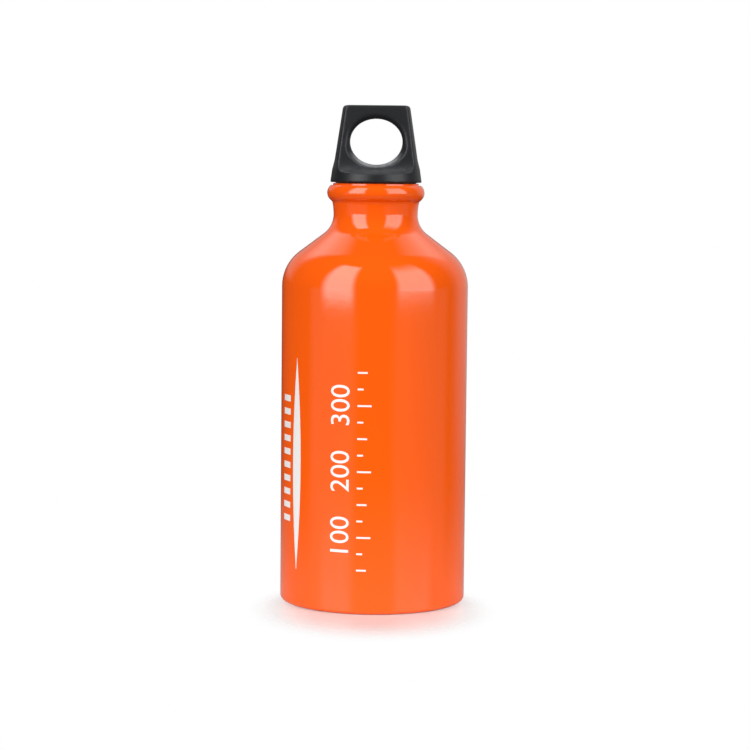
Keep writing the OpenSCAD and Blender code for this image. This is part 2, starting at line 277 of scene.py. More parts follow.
def enamel_material(finishes):
    """Stoved polyester enamel on aluminium: glossy and full of colour, with the faint orange peel that
    sprayed enamel dries to, and scuffed to bare metal here and there on the ring that it stands on."""
    material, tree, shader, place = new_material("Stoved orange enamel, sprayed")
    # Orange peel on a small sprayed part runs at about 2 mm from crest to crest
    peel = add_node(
        tree, "ShaderNodeTexNoise", {"Vector": place, "Scale": 1 / (2.0 * MM), "Detail": 1.5}
    )
    cloud = add_node(
        tree, "ShaderNodeTexNoise", {"Vector": place, "Scale": 1 / (28 * MM), "Detail": 3}
    )
    base = Vector(finishes.enamel)
    shade = add_node(
        tree,
        "ShaderNodeMix",
        {0: cloud.outputs["Fac"], 6: rgba(base * 0.965), 7: rgba(base)},
        data_type="RGBA",
    )
    height = add_node(tree, "ShaderNodeSeparateXYZ", {"Vector": place}).outputs["Z"]
    # Scuffs lie within 0.25 mm of the table, where the enamel rubs on what it stands on
    low = add_node(
        tree, "ShaderNodeMapRange", {"Value": height, "From Min": 0.25 * MM, "From Max": 0.02 * MM}
    )
    grit = add_node(
        tree, "ShaderNodeTexNoise", {"Vector": place, "Scale": 1 / (1.6 * MM), "Detail": 5}
    )
    scuffed = add_node(
        tree, "ShaderNodeMapRange", {"Value": grit.outputs["Fac"], "From Min": 0.5, "From Max": 0.56}
    )
    bare = add_node(
        tree,
        "ShaderNodeMath",
        {0: low.outputs["Result"], 1: scuffed.outputs["Result"]},
        operation="MULTIPLY",
    ).outputs[0]
    skin = add_node(
        tree,
        "ShaderNodeMix",
        {0: bare, 6: shade.outputs[2], 7: rgba(finishes.aluminium)},
        data_type="RGBA",
    )
    tree.links.new(skin.outputs[2], shader.inputs["Base Color"])
    tree.links.new(bare, shader.inputs["Metallic"])
    bump = add_node(
        tree,
        "ShaderNodeBump",
        {"Height": peel.outputs["Fac"], "Strength": 0.12, "Distance": 0.02 * MM},
    )
    tree.links.new(bump.outputs["Normal"], shader.inputs["Coat Normal"])
    shader.inputs["Roughness"].default_value = 0.42
    shader.inputs["Specular IOR Level"].default_value = 0
    shader.inputs["Coat Weight"].default_value = 1
    shader.inputs["Coat IOR"].default_value = 1.56
    shader.inputs["Coat Roughness"].default_value = 0.05
    return material


def lacquered_aluminium_material(finishes):
    """Inside of the impact-extruded shell: fine lines along the draw, under a thin clear lacquer that
    warms the metal a little."""
    material, tree, shader, place = new_material("Lacquered aluminium, impact-extruded")
    # Draw lines are 0.3 mm apart round the wall and run its whole height
    drawn = add_node(
        tree, "ShaderNodeMapping", {"Vector": place, "Scale": (1 / MM, 1 / MM, 0.02 / MM)}
    )
    lines = add_node(
        tree, "ShaderNodeTexNoise", {"Vector": drawn.outputs["Vector"], "Scale": 1.4, "Detail": 4}
    )
    rough = add_node(
        tree,
        "ShaderNodeMapRange",
        {"Value": lines.outputs["Fac"], "To Min": 0.3, "To Max": 0.5},
    )
    tree.links.new(rough.outputs["Result"], shader.inputs["Roughness"])
    bump = add_node(
        tree,
        "ShaderNodeBump",
        {"Height": lines.outputs["Fac"], "Strength": 0.3, "Distance": 0.02 * MM},
    )
    tree.links.new(bump.outputs["Normal"], shader.inputs["Normal"])
    shader.inputs["Base Color"].default_value = rgba(finishes.lacquered)
    shader.inputs["Metallic"].default_value = 1
    shader.inputs["Coat Weight"].default_value = 1
    shader.inputs["Coat Roughness"].default_value = 0.15
    return material


def turned_aluminium_material(finishes):
    """Thread ring, turned from aluminium bar: bright, with the tool's fine rings round the axis."""
    material, tree, shader, place = new_material("Bare aluminium, turned")
    split = add_node(tree, "ShaderNodeSeparateXYZ", {"Vector": place})
    flat = add_node(
        tree, "ShaderNodeCombineXYZ", {"X": split.outputs["X"], "Y": split.outputs["Y"]}
    )
    radius = add_node(
        tree, "ShaderNodeVectorMath", {0: flat.outputs["Vector"]}, operation="LENGTH"
    )
    # The tool moves 0.12 mm in a turn, drawn at 0.3 mm to show, along the wall and across the flange
    across = add_node(
        tree, "ShaderNodeMath", {0: radius.outputs["Value"], 1: split.outputs["Z"]}, operation="ADD"
    )
    marks = add_node(
        tree,
        "ShaderNodeTexNoise",
        {"W": across.outputs[0], "Scale": 1 / (0.3 * MM), "Detail": 2},
        noise_dimensions="1D",
    )
    bump = add_node(
        tree,
        "ShaderNodeBump",
        {"Height": marks.outputs["Fac"], "Strength": 0.35, "Distance": 0.02 * MM},
    )
    rough = add_node(
        tree, "ShaderNodeMapRange", {"Value": marks.outputs["Fac"], "To Min": 0.18, "To Max": 0.34}
    )
    tree.links.new(rough.outputs["Result"], shader.inputs["Roughness"])
    tree.links.new(bump.outputs["Normal"], shader.inputs["Normal"])
    shader.inputs["Base Color"].default_value = rgba(finishes.aluminium)
    shader.inputs["Metallic"].default_value = 1
    return material


def polypropylene_material(finishes, cap, hole_z):
    """Injection-moulded polypropylene: near black and satin, with the fine spark-eroded grain of the
    mould, and a painted highlight, paler in patches, on the faces that point upwards and on the lower
    rounding of the finger hole, where the light from above falls on them."""
    material, tree, shader, place = new_material("Black polypropylene, moulded")
    # The grain is about 0.1 mm and is drawn at 0.35 mm, so that it shows
    grain = add_node(
        tree, "ShaderNodeTexNoise", {"Vector": place, "Scale": 1 / (0.35 * MM), "Detail": 2}
    )
    flow = add_node(
        tree, "ShaderNodeTexNoise", {"Vector": place, "Scale": 1 / (9 * MM), "Detail": 2}
    )
    # Patches that break up the painted highlight are a few millimetres across
    highlight_patch_noise = add_node(
        tree, "ShaderNodeTexNoise", {"Vector": place, "Scale": 1 / (2.5 * MM), "Detail": 6}
    )
    base = Vector(finishes.plastic)
    shade = add_node(
        tree,
        "ShaderNodeMix",
        {0: flow.outputs["Fac"], 6: rgba(base * 0.85), 7: rgba(base * 1.15)},
        data_type="RGBA",
    )
    # Painted highlight: faces that point upwards are made paler, as where the light from above falls on
    # them
    facing = add_node(tree, "ShaderNodeTexCoord").outputs["Normal"]
    upwards = add_node(tree, "ShaderNodeSeparateXYZ", {"Vector": facing}).outputs["Z"]
    painted_upward_highlight = add_node(
        tree,
        "ShaderNodeMapRange",
        {"Value": upwards, "From Min": 0.35, "From Max": 0.95, "To Max": 0.22},
        interpolation_type="SMOOTHSTEP",
    )
    # Place round the hole, as a share of its half width and half height
    from_hole = add_node(
        tree, "ShaderNodeVectorMath", {0: place, 1: (0, 0, hole_z)}, operation="SUBTRACT"
    )
    round_hole = add_node(
        tree,
        "ShaderNodeVectorMath",
        {0: from_hole.outputs["Vector"], 1: (2 / cap.hole_w, 0, 2 / cap.hole_h)},
        operation="MULTIPLY",
    ).outputs["Vector"]
    off_hole = add_node(
        tree, "ShaderNodeVectorMath", {0: round_hole}, operation="LENGTH"
    ).outputs["Value"]
    height = add_node(tree, "ShaderNodeSeparateXYZ", {"Vector": round_hole}).outputs["Z"]
    # The painted highlight on the hole's lower rounding is about 1.5 mm wide and runs out half way up the
    # hole's sides
    band = add_node(
        tree,
        "ShaderNodeMapRange",
        {"Value": off_hole, "From Min": 1.19, "From Max": 1.06},
        interpolation_type="SMOOTHSTEP",
    )
    lower = add_node(
        tree,
        "ShaderNodeMapRange",
        {"Value": height, "From Min": -0.35, "From Max": -0.95},
        interpolation_type="SMOOTHSTEP",
    )
    hole_painted_highlight = add_node(
        tree,
        "ShaderNodeMath",
        {0: band.outputs["Result"], 1: lower.outputs["Result"]},
        operation="MULTIPLY",
    )
    pale = add_node(
        tree,
        "ShaderNodeMath",
        {0: painted_upward_highlight.outputs["Result"], 1: hole_painted_highlight.outputs[0]},
        operation="MAXIMUM",
    )
    painted_highlight_patches = add_node(
        tree,
        "ShaderNodeMapRange",
        {"Value": highlight_patch_noise.outputs["Fac"], "From Min": 0.3, "From Max": 0.6, "To Min": 0.5},
    )
    patchy_painted_highlight = add_node(
        tree,
        "ShaderNodeMath",
        {0: pale.outputs[0], 1: painted_highlight_patches.outputs["Result"]},
        operation="MULTIPLY",
    )
    # Mixes the cap's colour towards the pale grey of the painted highlight
    skin = add_node(
        tree,
        "ShaderNodeMix",
        {0: patchy_painted_highlight.outputs[0], 6: shade.outputs[2], 7: rgba(finishes.plastic_worn)},
        data_type="RGBA",
    )
    rough = add_node(
        tree,
        "ShaderNodeMapRange",
        {"Value": flow.outputs["Fac"], "To Min": 0.36, "To Max": 0.46},
    )
    bump = add_node(
        tree,
        "ShaderNodeBump",
        {"Height": grain.outputs["Fac"], "Strength": 0.3, "Distance": 0.03 * MM},
    )
    tree.links.new(skin.outputs[2], shader.inputs["Base Color"])
    tree.links.new(rough.outputs["Result"], shader.inputs["Roughness"])
    tree.links.new(bump.outputs["Normal"], shader.inputs["Normal"])
    shader.inputs["IOR"].default_value = 1.49
    shader.inputs["Specular IOR Level"].default_value = 0.38
    return material


def rubber_material(finishes):
    """Compression-moulded nitrile rubber: black and dull, with a soft sheen."""
    material, tree, shader, place = new_material("Nitrile rubber, moulded")
    bloom = add_node(
        tree, "ShaderNodeTexNoise", {"Vector": place, "Scale": 1 / (1.2 * MM), "Detail": 4}
    )
    base = Vector(finishes.rubber)
    shade = add_node(
        tree,
        "ShaderNodeMix",
        {0: bloom.outputs["Fac"], 6: rgba(base * 0.8), 7: rgba(base * 1.5)},
        data_type="RGBA",
    )
    bump = add_node(
        tree,
        "ShaderNodeBump",
        {"Height": bloom.outputs["Fac"], "Strength": 0.3, "Distance": 0.02 * MM},
    )
    tree.links.new(shade.outputs[2], shader.inputs["Base Color"])
    tree.links.new(bump.outputs["Normal"], shader.inputs["Normal"])
    shader.inputs["Roughness"].default_value = 0.6
    shader.inputs["IOR"].default_value = 1.52
    shader.inputs["Sheen Weight"].default_value = 0.15
    return material


def ink_material(finishes):
    """White screen-print ink on the enamel: semi-gloss, with the slight unevenness of a squeegeed film."""
    material, tree, shader, place = new_material("White ink, screen-printed")
    # The mesh's threads leave ripples 0.4 mm apart, and the film is thinner in places
    film = add_node(
        tree, "ShaderNodeTexNoise", {"Vector": place, "Scale": 1 / (0.4 * MM), "Detail": 3}
    )
    base = Vector(finishes.ink)
    shade = add_node(
        tree,
        "ShaderNodeMix",
        {0: film.outputs["Fac"], 6: rgba(base * 0.93), 7: rgba(base)},
        data_type="RGBA",
    )
    bump = add_node(
        tree,
        "ShaderNodeBump",
        {"Height": film.outputs["Fac"], "Strength": 0.2, "Distance": 0.02 * MM},
    )
    tree.links.new(shade.outputs[2], shader.inputs["Base Color"])
    tree.links.new(bump.outputs["Normal"], shader.inputs["Normal"])
    shader.inputs["Roughness"].default_value = 0.3
    return material


class Section:
    """Draws half the section of a turned shape, in the plane of X and Z, as a chain of vertices."""

    def __init__(self, bm, r, z):
        self.bm = bm
        self.tip = bm.verts.new((r, 0, z))

    def line(self, r, z):
        end = self.bm.verts.new((r, 0, z))
        self.bm.edges.new((self.tip, end))
        self.tip = end

    def arc(self, r, z, turn, steps=BEND_STEPS):
        """Carries the chain on round a centre, to the left where the turn is positive."""
        swept = bmesh.ops.spin(
            self.bm, geom=[self.tip], cent=(r, 0, z), axis=(0, -1, 0), angle=turn, steps=steps
        )
        self.tip = next(g for g in swept["geom_last"] if isinstance(g, bmesh.types.BMVert))

    def join(self, other_end):
        self.bm.edges.new((self.tip, other_end))


def lathe(bm, steps=ROUND_STEPS, material=0):
    """Turns the chain that has no faces yet once round the Z axis."""
    chain = [v for v in bm.verts if not v.link_faces] + [e for e in bm.edges if not e.link_faces]
    before = set(bm.faces)
    bmesh.ops.spin(
        bm,
        geom=chain,
        cent=(0, 0, 0),
        axis=(0, 0, 1),
        angle=math.tau,
        steps=steps,
        use_merge=True,
    )
    for face in bm.faces:
        if face not in before:
            face.material_index = material


def seal(bm):
    """Merges what meets, so that seams and poles close, and turns the faces outwards."""
    bmesh.ops.remove_doubles(bm, verts=bm.verts, dist=MERGE_DISTANCE)
    bmesh.ops.recalc_face_normals(bm, faces=bm.faces)


def to_object(name, bm, materials=()):
    """Object at the origin that holds the mesh, smooth but for its sharp edges."""
    for face in bm.faces:
        face.smooth = True
    for edge in bm.edges:
        edge.smooth = edge.calc_face_angle(0) < SHARP_ANGLE
    mesh = bpy.data.meshes.new(name)
    bm.to_mesh(mesh)
    bm.free()
    for material in materials:
        mesh.materials.append(material)
    made = bpy.data.objects.new(name, mesh)
    bpy.context.scene.collection.objects.link(made)
    return made


def apply_modifiers(piece):
    """Gives the piece the mesh that its modifiers make, and takes them off."""
    bpy.context.view_layer.update()
    depsgraph = bpy.context.evaluated_depsgraph_get()
    made = bpy.data.meshes.new_from_object(piece.evaluated_get(depsgraph))
    piece.modifiers.clear()
    piece.data = made


def combine(piece, other, operation):
    """Cuts the other object from the piece, or unites them, and removes the other."""
    modifier = piece.modifiers.new("Combine", "BOOLEAN")
    modifier.operation = operation
    modifier.solver = "EXACT"
    modifier.object = other
    apply_modifiers(piece)
    bpy.data.objects.remove(other)


def crossing(a, ra, b, rb):
    """Point where two circles cross, on the right of the line from a to b."""
    apart = (b - a).length
    along = (ra * ra - rb * rb + apart * apart) / (2 * apart)
    across = math.sqrt(ra * ra - along * along)
    u = (b - a) / apart
    return a + along * u + across * Vector((u.y, -u.x))


def heading(start, end):
    return math.atan2(end.y - start.y, end.x - start.x)


def dome(section, edge_r, edge_z, rise):
    """Draws a shallow dome from the axis down to its edge."""
    radius = (edge_r * edge_r + rise * rise) / (2 * rise)
    section.arc(0, edge_z + rise - radius, -math.asin(edge_r / radius))


def shoulder_sizes(s):
    """Turn of the shoulder, and the centres of the arcs at its root and at its top."""
    turn = math.pi / 2 - s.shoulder_slope
    root = Vector((s.neck_r + s.root_r, s.rim_z - s.waist_drop))
    root_end = root - s.root_r * Vector((math.cos(turn), math.sin(turn)))
    top_r = s.body_r - s.shoulder_r * (1 - math.cos(turn))
    top_z = root_end.y - (top_r - root_end.x) * math.tan(s.shoulder_slope)
    top = Vector((s.body_r - s.shoulder_r, top_z - s.shoulder_r * math.sin(turn)))
    return turn, root, top


def draw_shell_outside(bm, s, lip_r):
    turn, root, top = shoulder_sizes(s)
    ring_in = s.body_r - s.foot_r - s.ring_w
    section = Section(bm, 0, s.heel + s.dome_rise)
    dome(section, ring_in - s.heel, s.heel, s.dome_rise)
    section.line(ring_in, 0)
    section.line(s.body_r - s.foot_r, 0)
    section.arc(s.body_r - s.foot_r, s.foot_r, math.pi / 2)
    section.line(s.body_r, top.y)
    section.arc(*top, turn, 2 * BEND_STEPS)
    out = Vector((math.cos(turn), math.sin(turn)))
    section.line(*(root - s.root_r * out))
    section.arc(*root, -turn, 2 * BEND_STEPS)

    bead = Vector((s.neck_r + s.bead_out - s.bead_r, s.rim_z - s.bead_drop))
    flare_h = bead.y - root.y
    flare_r = (flare_h * flare_h + s.neck_flare * s.neck_flare) / (2 * s.neck_flare)
    flare = Vector((s.neck_r + flare_r, root.y))
    fillet = crossing(bead, s.bead_r + s.bead_fillet_r, flare, flare_r - s.bead_fillet_r)
    flare_end = heading(flare, fillet)
    bead_start = heading(bead, fillet)
    section.arc(*flare, flare_end - math.pi)
    section.arc(*fillet, bead_start + math.pi - flare_end, BEND_STEPS // 2)
    section.arc(*bead, s.bead_end - bead_start, 2 * BEND_STEPS)
    # The lip stands back from the bead, in the shadow of the cap
    section.line(lip_r, bead.y + s.bead_r * math.sin(s.bead_end))
    section.line(lip_r, s.rim_z - s.lip_round)
    section.arc(lip_r - s.lip_round, s.rim_z - s.lip_round, math.pi / 2, BEND_STEPS // 2)


def floor_material(finishes):
    """Pale satin table. Near the bottle it keeps the bottle's shadow and its faint reflection, and away
    from it the table fades into the white that the camera sees all round."""
    material, tree, shader, place = new_material("White laminate, satin")
    shader.inputs["Base Color"].default_value = rgba(finishes.floor)
    shader.inputs["Roughness"].default_value = 0.3
    shader.inputs["Specular IOR Level"].default_value = 0.3
    # To the camera, what shows is an oval whose middle lies in front of the bottle
    oval = add_node(
        tree, "ShaderNodeVectorMath", {0: place, 1: (1.25, 1, 1)}, operation="MULTIPLY"
    )
    near = add_node(
        tree,
        "ShaderNodeVectorMath",
        {0: oval.outputs["Vector"], 1: (0, -24 * MM, 0)},
        operation="DISTANCE",
    )
    shown = add_node(
        tree,
        "ShaderNodeMapRange",
        {"Value": near.outputs["Value"], "From Min": 62 * MM, "From Max": 26 * MM},
        interpolation_type="SMOOTHSTEP",
    )
    reach = add_node(tree, "ShaderNodeVectorMath", {0: place}, operation="LENGTH")
    left = add_node(
        tree,
        "ShaderNodeMapRange",
        {"Value": reach.outputs["Value"], "From Min": 400 * MM, "From Max": 0},
    )
    mirrored = add_node(
        tree, "ShaderNodeMath", {0: left.outputs["Result"], 1: 2}, operation="POWER"
    )
    seen = add_node(tree, "ShaderNodeLightPath").outputs["Is Camera Ray"]
    kept = add_node(
        tree,
        "ShaderNodeMix",
        {0: seen, 2: mirrored.outputs[0], 3: shown.outputs["Result"]},
    )
    tree.links.new(kept.outputs[0], shader.inputs["Alpha"])
    return material


def window(tree, value, low, high, low_blur, high_blur):
    """Node output that is 1 while a value in degrees lies between two bounds, and fades across them."""
    parts = [
        add_node(
            tree,
            "ShaderNodeMapRange",
            {"Value": value, "From Min": math.radians(off), "From Max": math.radians(full)},
            interpolation_type="SMOOTHSTEP",
        ).outputs["Result"]
        for off, full in (
            (low - low_blur / 2, low + low_blur / 2),
            (high + high_blur / 2, high - high_blur / 2),
        )
    ]
    return add_node(
        tree, "ShaderNodeMath", {0: parts[0], 1: parts[1]}, operation="MULTIPLY"
    ).outputs[0]


def add_studio_world(context):
    """White to the camera. To the bottle, a dim studio with a large soft box on each side of the camera
    and a pale wall behind."""
    world = bpy.data.worlds.new("Studio")
    context.scene.world = world
    world.use_nodes = True
    tree = world.node_tree
    tree.nodes.clear()
    way = add_node(tree, "ShaderNodeTexCoord").outputs["Generated"]
    split = add_node(tree, "ShaderNodeSeparateXYZ", {"Vector": way})
    front = add_node(
        tree, "ShaderNodeMath", {0: split.outputs["Y"], 1: -1}, operation="MULTIPLY"
    ).outputs[0]
    # Azimuths run from the camera's side towards +X
    azimuth = add_node(
        tree, "ShaderNodeMath", {0: split.outputs["X"], 1: front}, operation="ARCTAN2"
    ).outputs[0]
    elevation = add_node(
        tree, "ShaderNodeMath", {0: split.outputs["Z"]}, operation="ARCSINE"
    ).outputs[0]
    level = 0.04
    for radiance, across, upwards in STUDIO_LIGHTS:
        lit = add_node(
            tree,
            "ShaderNodeMath",
            {0: window(tree, azimuth, *across), 1: window(tree, elevation, *upwards)},
            operation="MULTIPLY",
        ).outputs[0]
        level = add_node(
            tree, "ShaderNodeMath", {0: lit, 1: radiance, 2: level}, operation="MULTIPLY_ADD"
        ).outputs[0]
    studio = add_node(
        tree, "ShaderNodeBackground", {"Color": (1, 1, 1, 1), "Strength": level}
    )
    white = add_node(tree, "ShaderNodeBackground", {"Color": (1, 1, 1, 1), "Strength": 1})
    seen = add_node(tree, "ShaderNodeLightPath").outputs["Is Camera Ray"]
    mixed = add_node(
        tree,
        "ShaderNodeMixShader",
        {0: seen, 1: studio.outputs["Background"], 2: white.outputs["Background"]},
    )
    add_node(tree, "ShaderNodeOutputWorld", {"Surface": mixed.outputs["Shader"]})


def add_camera(context):
    """Camera of the photograph, which looks a little down on the bottle and leans a little."""
    camera = bpy.data.cameras.new("Camera")
    camera.sensor_width = 36
    camera.lens = 107.5
    camera.clip_start = 0.01
    holder = bpy.data.objects.new("Camera", camera)
    holder.matrix_world = (
        Matrix.Translation((0.36 * MM, -880 * MM, 170.7 * MM))
        @ Matrix.Rotation(math.radians(90 - 5.314), 4, "X")
        @ Matrix.Rotation(math.radians(0.56), 4, "Z")
    )
    context.scene.collection.objects.link(holder)
    context.scene.camera = holder


def smooth(bm, verts):
    bmesh.ops.smooth_vert(
        bm, verts=verts, factor=0.5, use_axis_x=True, use_axis_y=True, use_axis_z=True
    )


def draw_shell_inside(bm, s, recess_r, rim_land_r, flange_z):
    turn, root, top = shoulder_sizes(s)
    mitre = s.base_wall * math.tan(math.pi / 8)
    bore_r = s.body_r - s.wall
    ring_in = s.body_r - s.foot_r - s.ring_w + mitre
    fillet_r = min(s.inner_foot_r, bore_r - ring_in)
    neck_bore_r = s.neck_r - s.wall
    section = Section(bm, 0, s.base_wall + s.heel + s.dome_rise)
    dome(section, ring_in - s.heel, s.base_wall + s.heel, s.dome_rise)
    section.line(ring_in, s.base_wall)
    section.line(bore_r - fillet_r, s.base_wall)
    section.arc(bore_r - fillet_r, s.base_wall + fillet_r, math.pi / 2)
    section.line(bore_r, top.y)
    section.arc(*top, turn, 2 * BEND_STEPS)
    out = Vector((math.cos(turn), math.sin(turn)))
    section.line(*(root - (s.root_r + s.wall) * out))
    section.arc(*root, -turn, 2 * BEND_STEPS)
    section.line(neck_bore_r, flange_z)
    section.line(recess_r, flange_z)
    section.line(recess_r, s.rim_z)
    section.line(rim_land_r, s.rim_z)


def wind_ridge(thread, root_r, outwards, start_z, turns, start_angle):
    """Ridge of a thread wound up a wall, with rounded crest edges, that runs out at both ends."""
    out = 1 if outwards else -1
    sink = 0.3 * MM
    slope = math.tan(thread.flank)
    half_root = thread.crest_w / 2 + thread.height * slope
    steps = round(turns * THREAD_STEPS)
    bm = bmesh.new()
    corners = [
        bm.verts.new((root_r + out * height, 0, side * (half_root - height * slope)))
        for side, height in ((-1, -sink), (1, -sink), (1, thread.height), (-1, thread.height))
    ]
    bm.faces.new(corners)
    bmesh.ops.bevel(
        bm,
        geom=corners[2:],
        offset=0.18 * MM,
        affect="VERTICES",
        segments=3,
        profile=0.5,
        material=-1,
    )
    bmesh.ops.rotate(bm, verts=bm.verts, matrix=Matrix.Rotation(start_angle, 3, "Z"))
    bmesh.ops.translate(bm, verts=bm.verts, vec=(0, 0, start_z))
    bmesh.ops.spin(
        bm,
        geom=bm.verts[:] + bm.edges[:] + bm.faces[:],
        cent=(0, 0, 0),
        axis=(0, 0, 1),
        dvec=(0, 0, thread.pitch * turns / steps),
        angle=math.tau * turns,
        steps=steps,
    )
    for vert in bm.verts:
        height = out * (vert.co.xy.length - root_r)
        if height <= 0:
            continue
        part = (math.atan2(vert.co.y, vert.co.x) - start_angle) / math.tau
        turned = part + round((vert.co.z - start_z) / thread.pitch - part)
        left = min(turned, turns - turned) / thread.fade
        kept = height * min(1, max(0.15, left))
        off = vert.co.z - start_z - thread.pitch * turned
        vert.co.z += math.copysign((height - kept) * slope, off)
        vert.co.xy *= (root_r + out * kept) / vert.co.xy.length
    bmesh.ops.holes_fill(bm, edges=bm.edges)
    seal(bm)
    return to_object("Ridge", bm)


def scoop_cutter(cap, skirt_foot_z, turned):
    """Space in front of the loop's face and above the ledge."""
    over = 1 * MM
    edge_r = cap.skirt_r - cap.skirt_in * cap.ledge_h / cap.skirt_h
    edge = Vector((edge_r, skirt_foot_z + cap.ledge_h))
    top = Vector((cap.loop_t / 2, cap.top_z))
    up = Vector((-math.sin(cap.face_lean), math.cos(cap.face_lean)))
    out = Vector((math.cos(cap.face_lean), math.sin(cap.face_lean)))
    fall = math.tan(cap.ledge_slope)
    face_len = (top.y - edge.y - (edge_r - top.x) * fall) / (up.y + up.x * fall)
    foot = (math.pi / 2 + cap.face_lean + cap.ledge_slope) / 2
    centre = top - (face_len - cap.scoop_r / math.tan(foot)) * up + cap.scoop_r * out

    bm = bmesh.new()
    start = edge + over * Vector((1, -fall))
    section = Section(bm, *start)
    first = section.tip
    section.line(edge_r + over, top.y + over)
    section.line(*(top + over * up))
    section.line(*(centre - cap.scoop_r * out))
    section.arc(*centre, math.pi / 2 - cap.ledge_slope - cap.face_lean)
    section.join(first)
    bmesh.ops.contextual_create(bm, geom=bm.edges[:])
    bmesh.ops.translate(bm, verts=bm.verts, vec=(0, -cap.skirt_r - over, 0))
    block = bmesh.ops.extrude_face_region(bm, geom=bm.faces[:])
    moved = [g for g in block["geom"] if isinstance(g, bmesh.types.BMVert)]
    bmesh.ops.translate(bm, verts=moved, vec=(0, 2 * (cap.skirt_r + over), 0))
    bmesh.ops.rotate(bm, verts=bm.verts, matrix=Matrix.Rotation(turned, 3, "Z"))
    bmesh.ops.recalc_face_normals(bm, faces=bm.faces)
    return to_object("Scoop", bm)


def finger_hole_cutter(cap, skirt_foot_z):
    """Ellipse through the loop that rounds out to both of its faces, along the lean of the faces above
    its middle and along the loop's swelling foot below it."""
    cap_h = cap.top_z - skirt_foot_z
    half_t = cap.loop_t / 2 + (cap_h - cap.hole_z) * math.tan(cap.face_lean)
    turn = math.radians(80)
    steps = 12
    over = 3 * MM
    rounding = [
        Vector((cap.hole_round * (1 - math.cos(a)), cap.round_depth * (math.sin(a) - 1)))
        for a in (turn * i / steps for i in range(steps + 1))
    ]
    rounding.append(rounding[-1] + Vector((0, over)))
    front = [
        Matrix.Diagonal((cap.hole_w / 2 + grown, 1, cap.hole_h / 2 + grown, 1))
        @ Matrix.Translation((0, -half_t - depth, 0))
        for grown, depth in reversed(rounding)
    ]
    across = Matrix.Scale(-1, 4, (0, 1, 0))
    rings = front + [across @ matrix for matrix in reversed(front)]

    bm = bmesh.new()
    bmesh.ops.create_circle(
        bm, segments=128, radius=1, matrix=Matrix.Rotation(math.pi / 2, 4, "X")
    )
    bmesh.ops.transform(bm, matrix=rings[0], verts=bm.verts)
    end = bm.edges[:]
    for before, after in zip(rings, rings[1:]):
        grown = bmesh.ops.extrude_edge_only(bm, edges=end)["geom"]
        moved = {g for g in grown if isinstance(g, bmesh.types.BMVert)}
        end = [e for e in bm.edges if moved.issuperset(e.verts)]
        bmesh.ops.transform(bm, matrix=after @ before.inverted(), verts=list(moved))
    bmesh.ops.holes_fill(bm, edges=bm.edges)
    for vert in bm.verts:
        lean = cap.face_lean if vert.co.z > 0 else cap.round_lean
        vert.co.y -= math.copysign(vert.co.z * math.tan(lean), vert.co.y)
    bmesh.ops.translate(bm, verts=bm.verts, vec=(0, 0, skirt_foot_z + cap.hole_z))
    bmesh.ops.recalc_face_normals(bm, faces=bm.faces)
    return to_object("Finger hole", bm)


def flat_box(bm, low, high):
    """Rectangle of print, laid out flat with X along the arc and Y up the bottle."""
    size = Vector(high) - Vector(low)
    middle = (Vector(high) + Vector(low)) / 2
    made = bmesh.ops.create_grid(bm, x_segments=1, y_segments=1, size=0.5)["verts"]
    bmesh.ops.scale(bm, verts=made, vec=(size.x, size.y, 1))
    bmesh.ops.translate(bm, verts=made, vec=(middle.x, middle.y, 0))
    return made


def flat_number(bm, text, height, at, level):
    """Number that reads upwards, with its middle at the given place."""
    curve = bpy.data.curves.new(text, "FONT")
    curve.body = text
    curve.align_x = "CENTER"
    curve.align_y = "CENTER"
    lettering = bpy.data.objects.new(text, curve)
    bpy.context.scene.collection.objects.link(lettering)
    bpy.context.view_layer.update()
    depsgraph = bpy.context.evaluated_depsgraph_get()
    mesh = bpy.data.meshes.new_from_object(lettering.evaluated_get(depsgraph))
    bpy.data.objects.remove(lettering)
    tall = max(v.co.y for v in mesh.vertices) - min(v.co.y for v in mesh.vertices)
    old = set(bm.verts)
    bm.from_mesh(mesh)
    new = [v for v in bm.verts if v not in old]
    place = (
        Matrix.Translation((at, level, 0))
        @ Matrix.Rotation(math.pi / 2, 4, "Z")
        @ Matrix.Scale(height / tall, 4)
    )
    bmesh.ops.transform(bm, matrix=place, verts=new)


def wrap_print(bm, radius, thickness):
    """Bends flat print round the bottle, from the front at -Y towards +X, and gives it its thickness."""
    bmesh.ops.remove_doubles(bm, verts=bm.verts, dist=MERGE_DISTANCE)
    low = min(v.co.x for v in bm.verts)
    high = max(v.co.x for v in bm.verts)
    step = radius * math.tau / ROUND_STEPS
    for i in range(math.ceil(low / step), math.ceil(high / step)):
        geom = bm.verts[:] + bm.edges[:] + bm.faces[:]
        bmesh.ops.bisect_plane(
            bm, geom=geom, dist=MERGE_DISTANCE / 10, plane_co=(i * step, 0, 0), plane_no=(1, 0, 0)
        )
    film = bmesh.ops.extrude_face_region(bm, geom=bm.faces[:])
    raised = [g for g in film["geom"] if isinstance(g, bmesh.types.BMVert)]
    bmesh.ops.translate(bm, verts=raised, vec=(0, 0, thickness))
    for vert in bm.verts:
        turned = vert.co.x / radius
        out = radius - thickness / 3 + vert.co.z
        vert.co = (out * math.sin(turned), -out * math.cos(turned), vert.co.y)
    bmesh.ops.recalc_face_normals(bm, faces=bm.faces)


def fit(piece, body, node=None):
    """Hangs a piece on its body and hides the CAD node that it stands for."""
    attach(piece, body)
    if node:
        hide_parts(node)


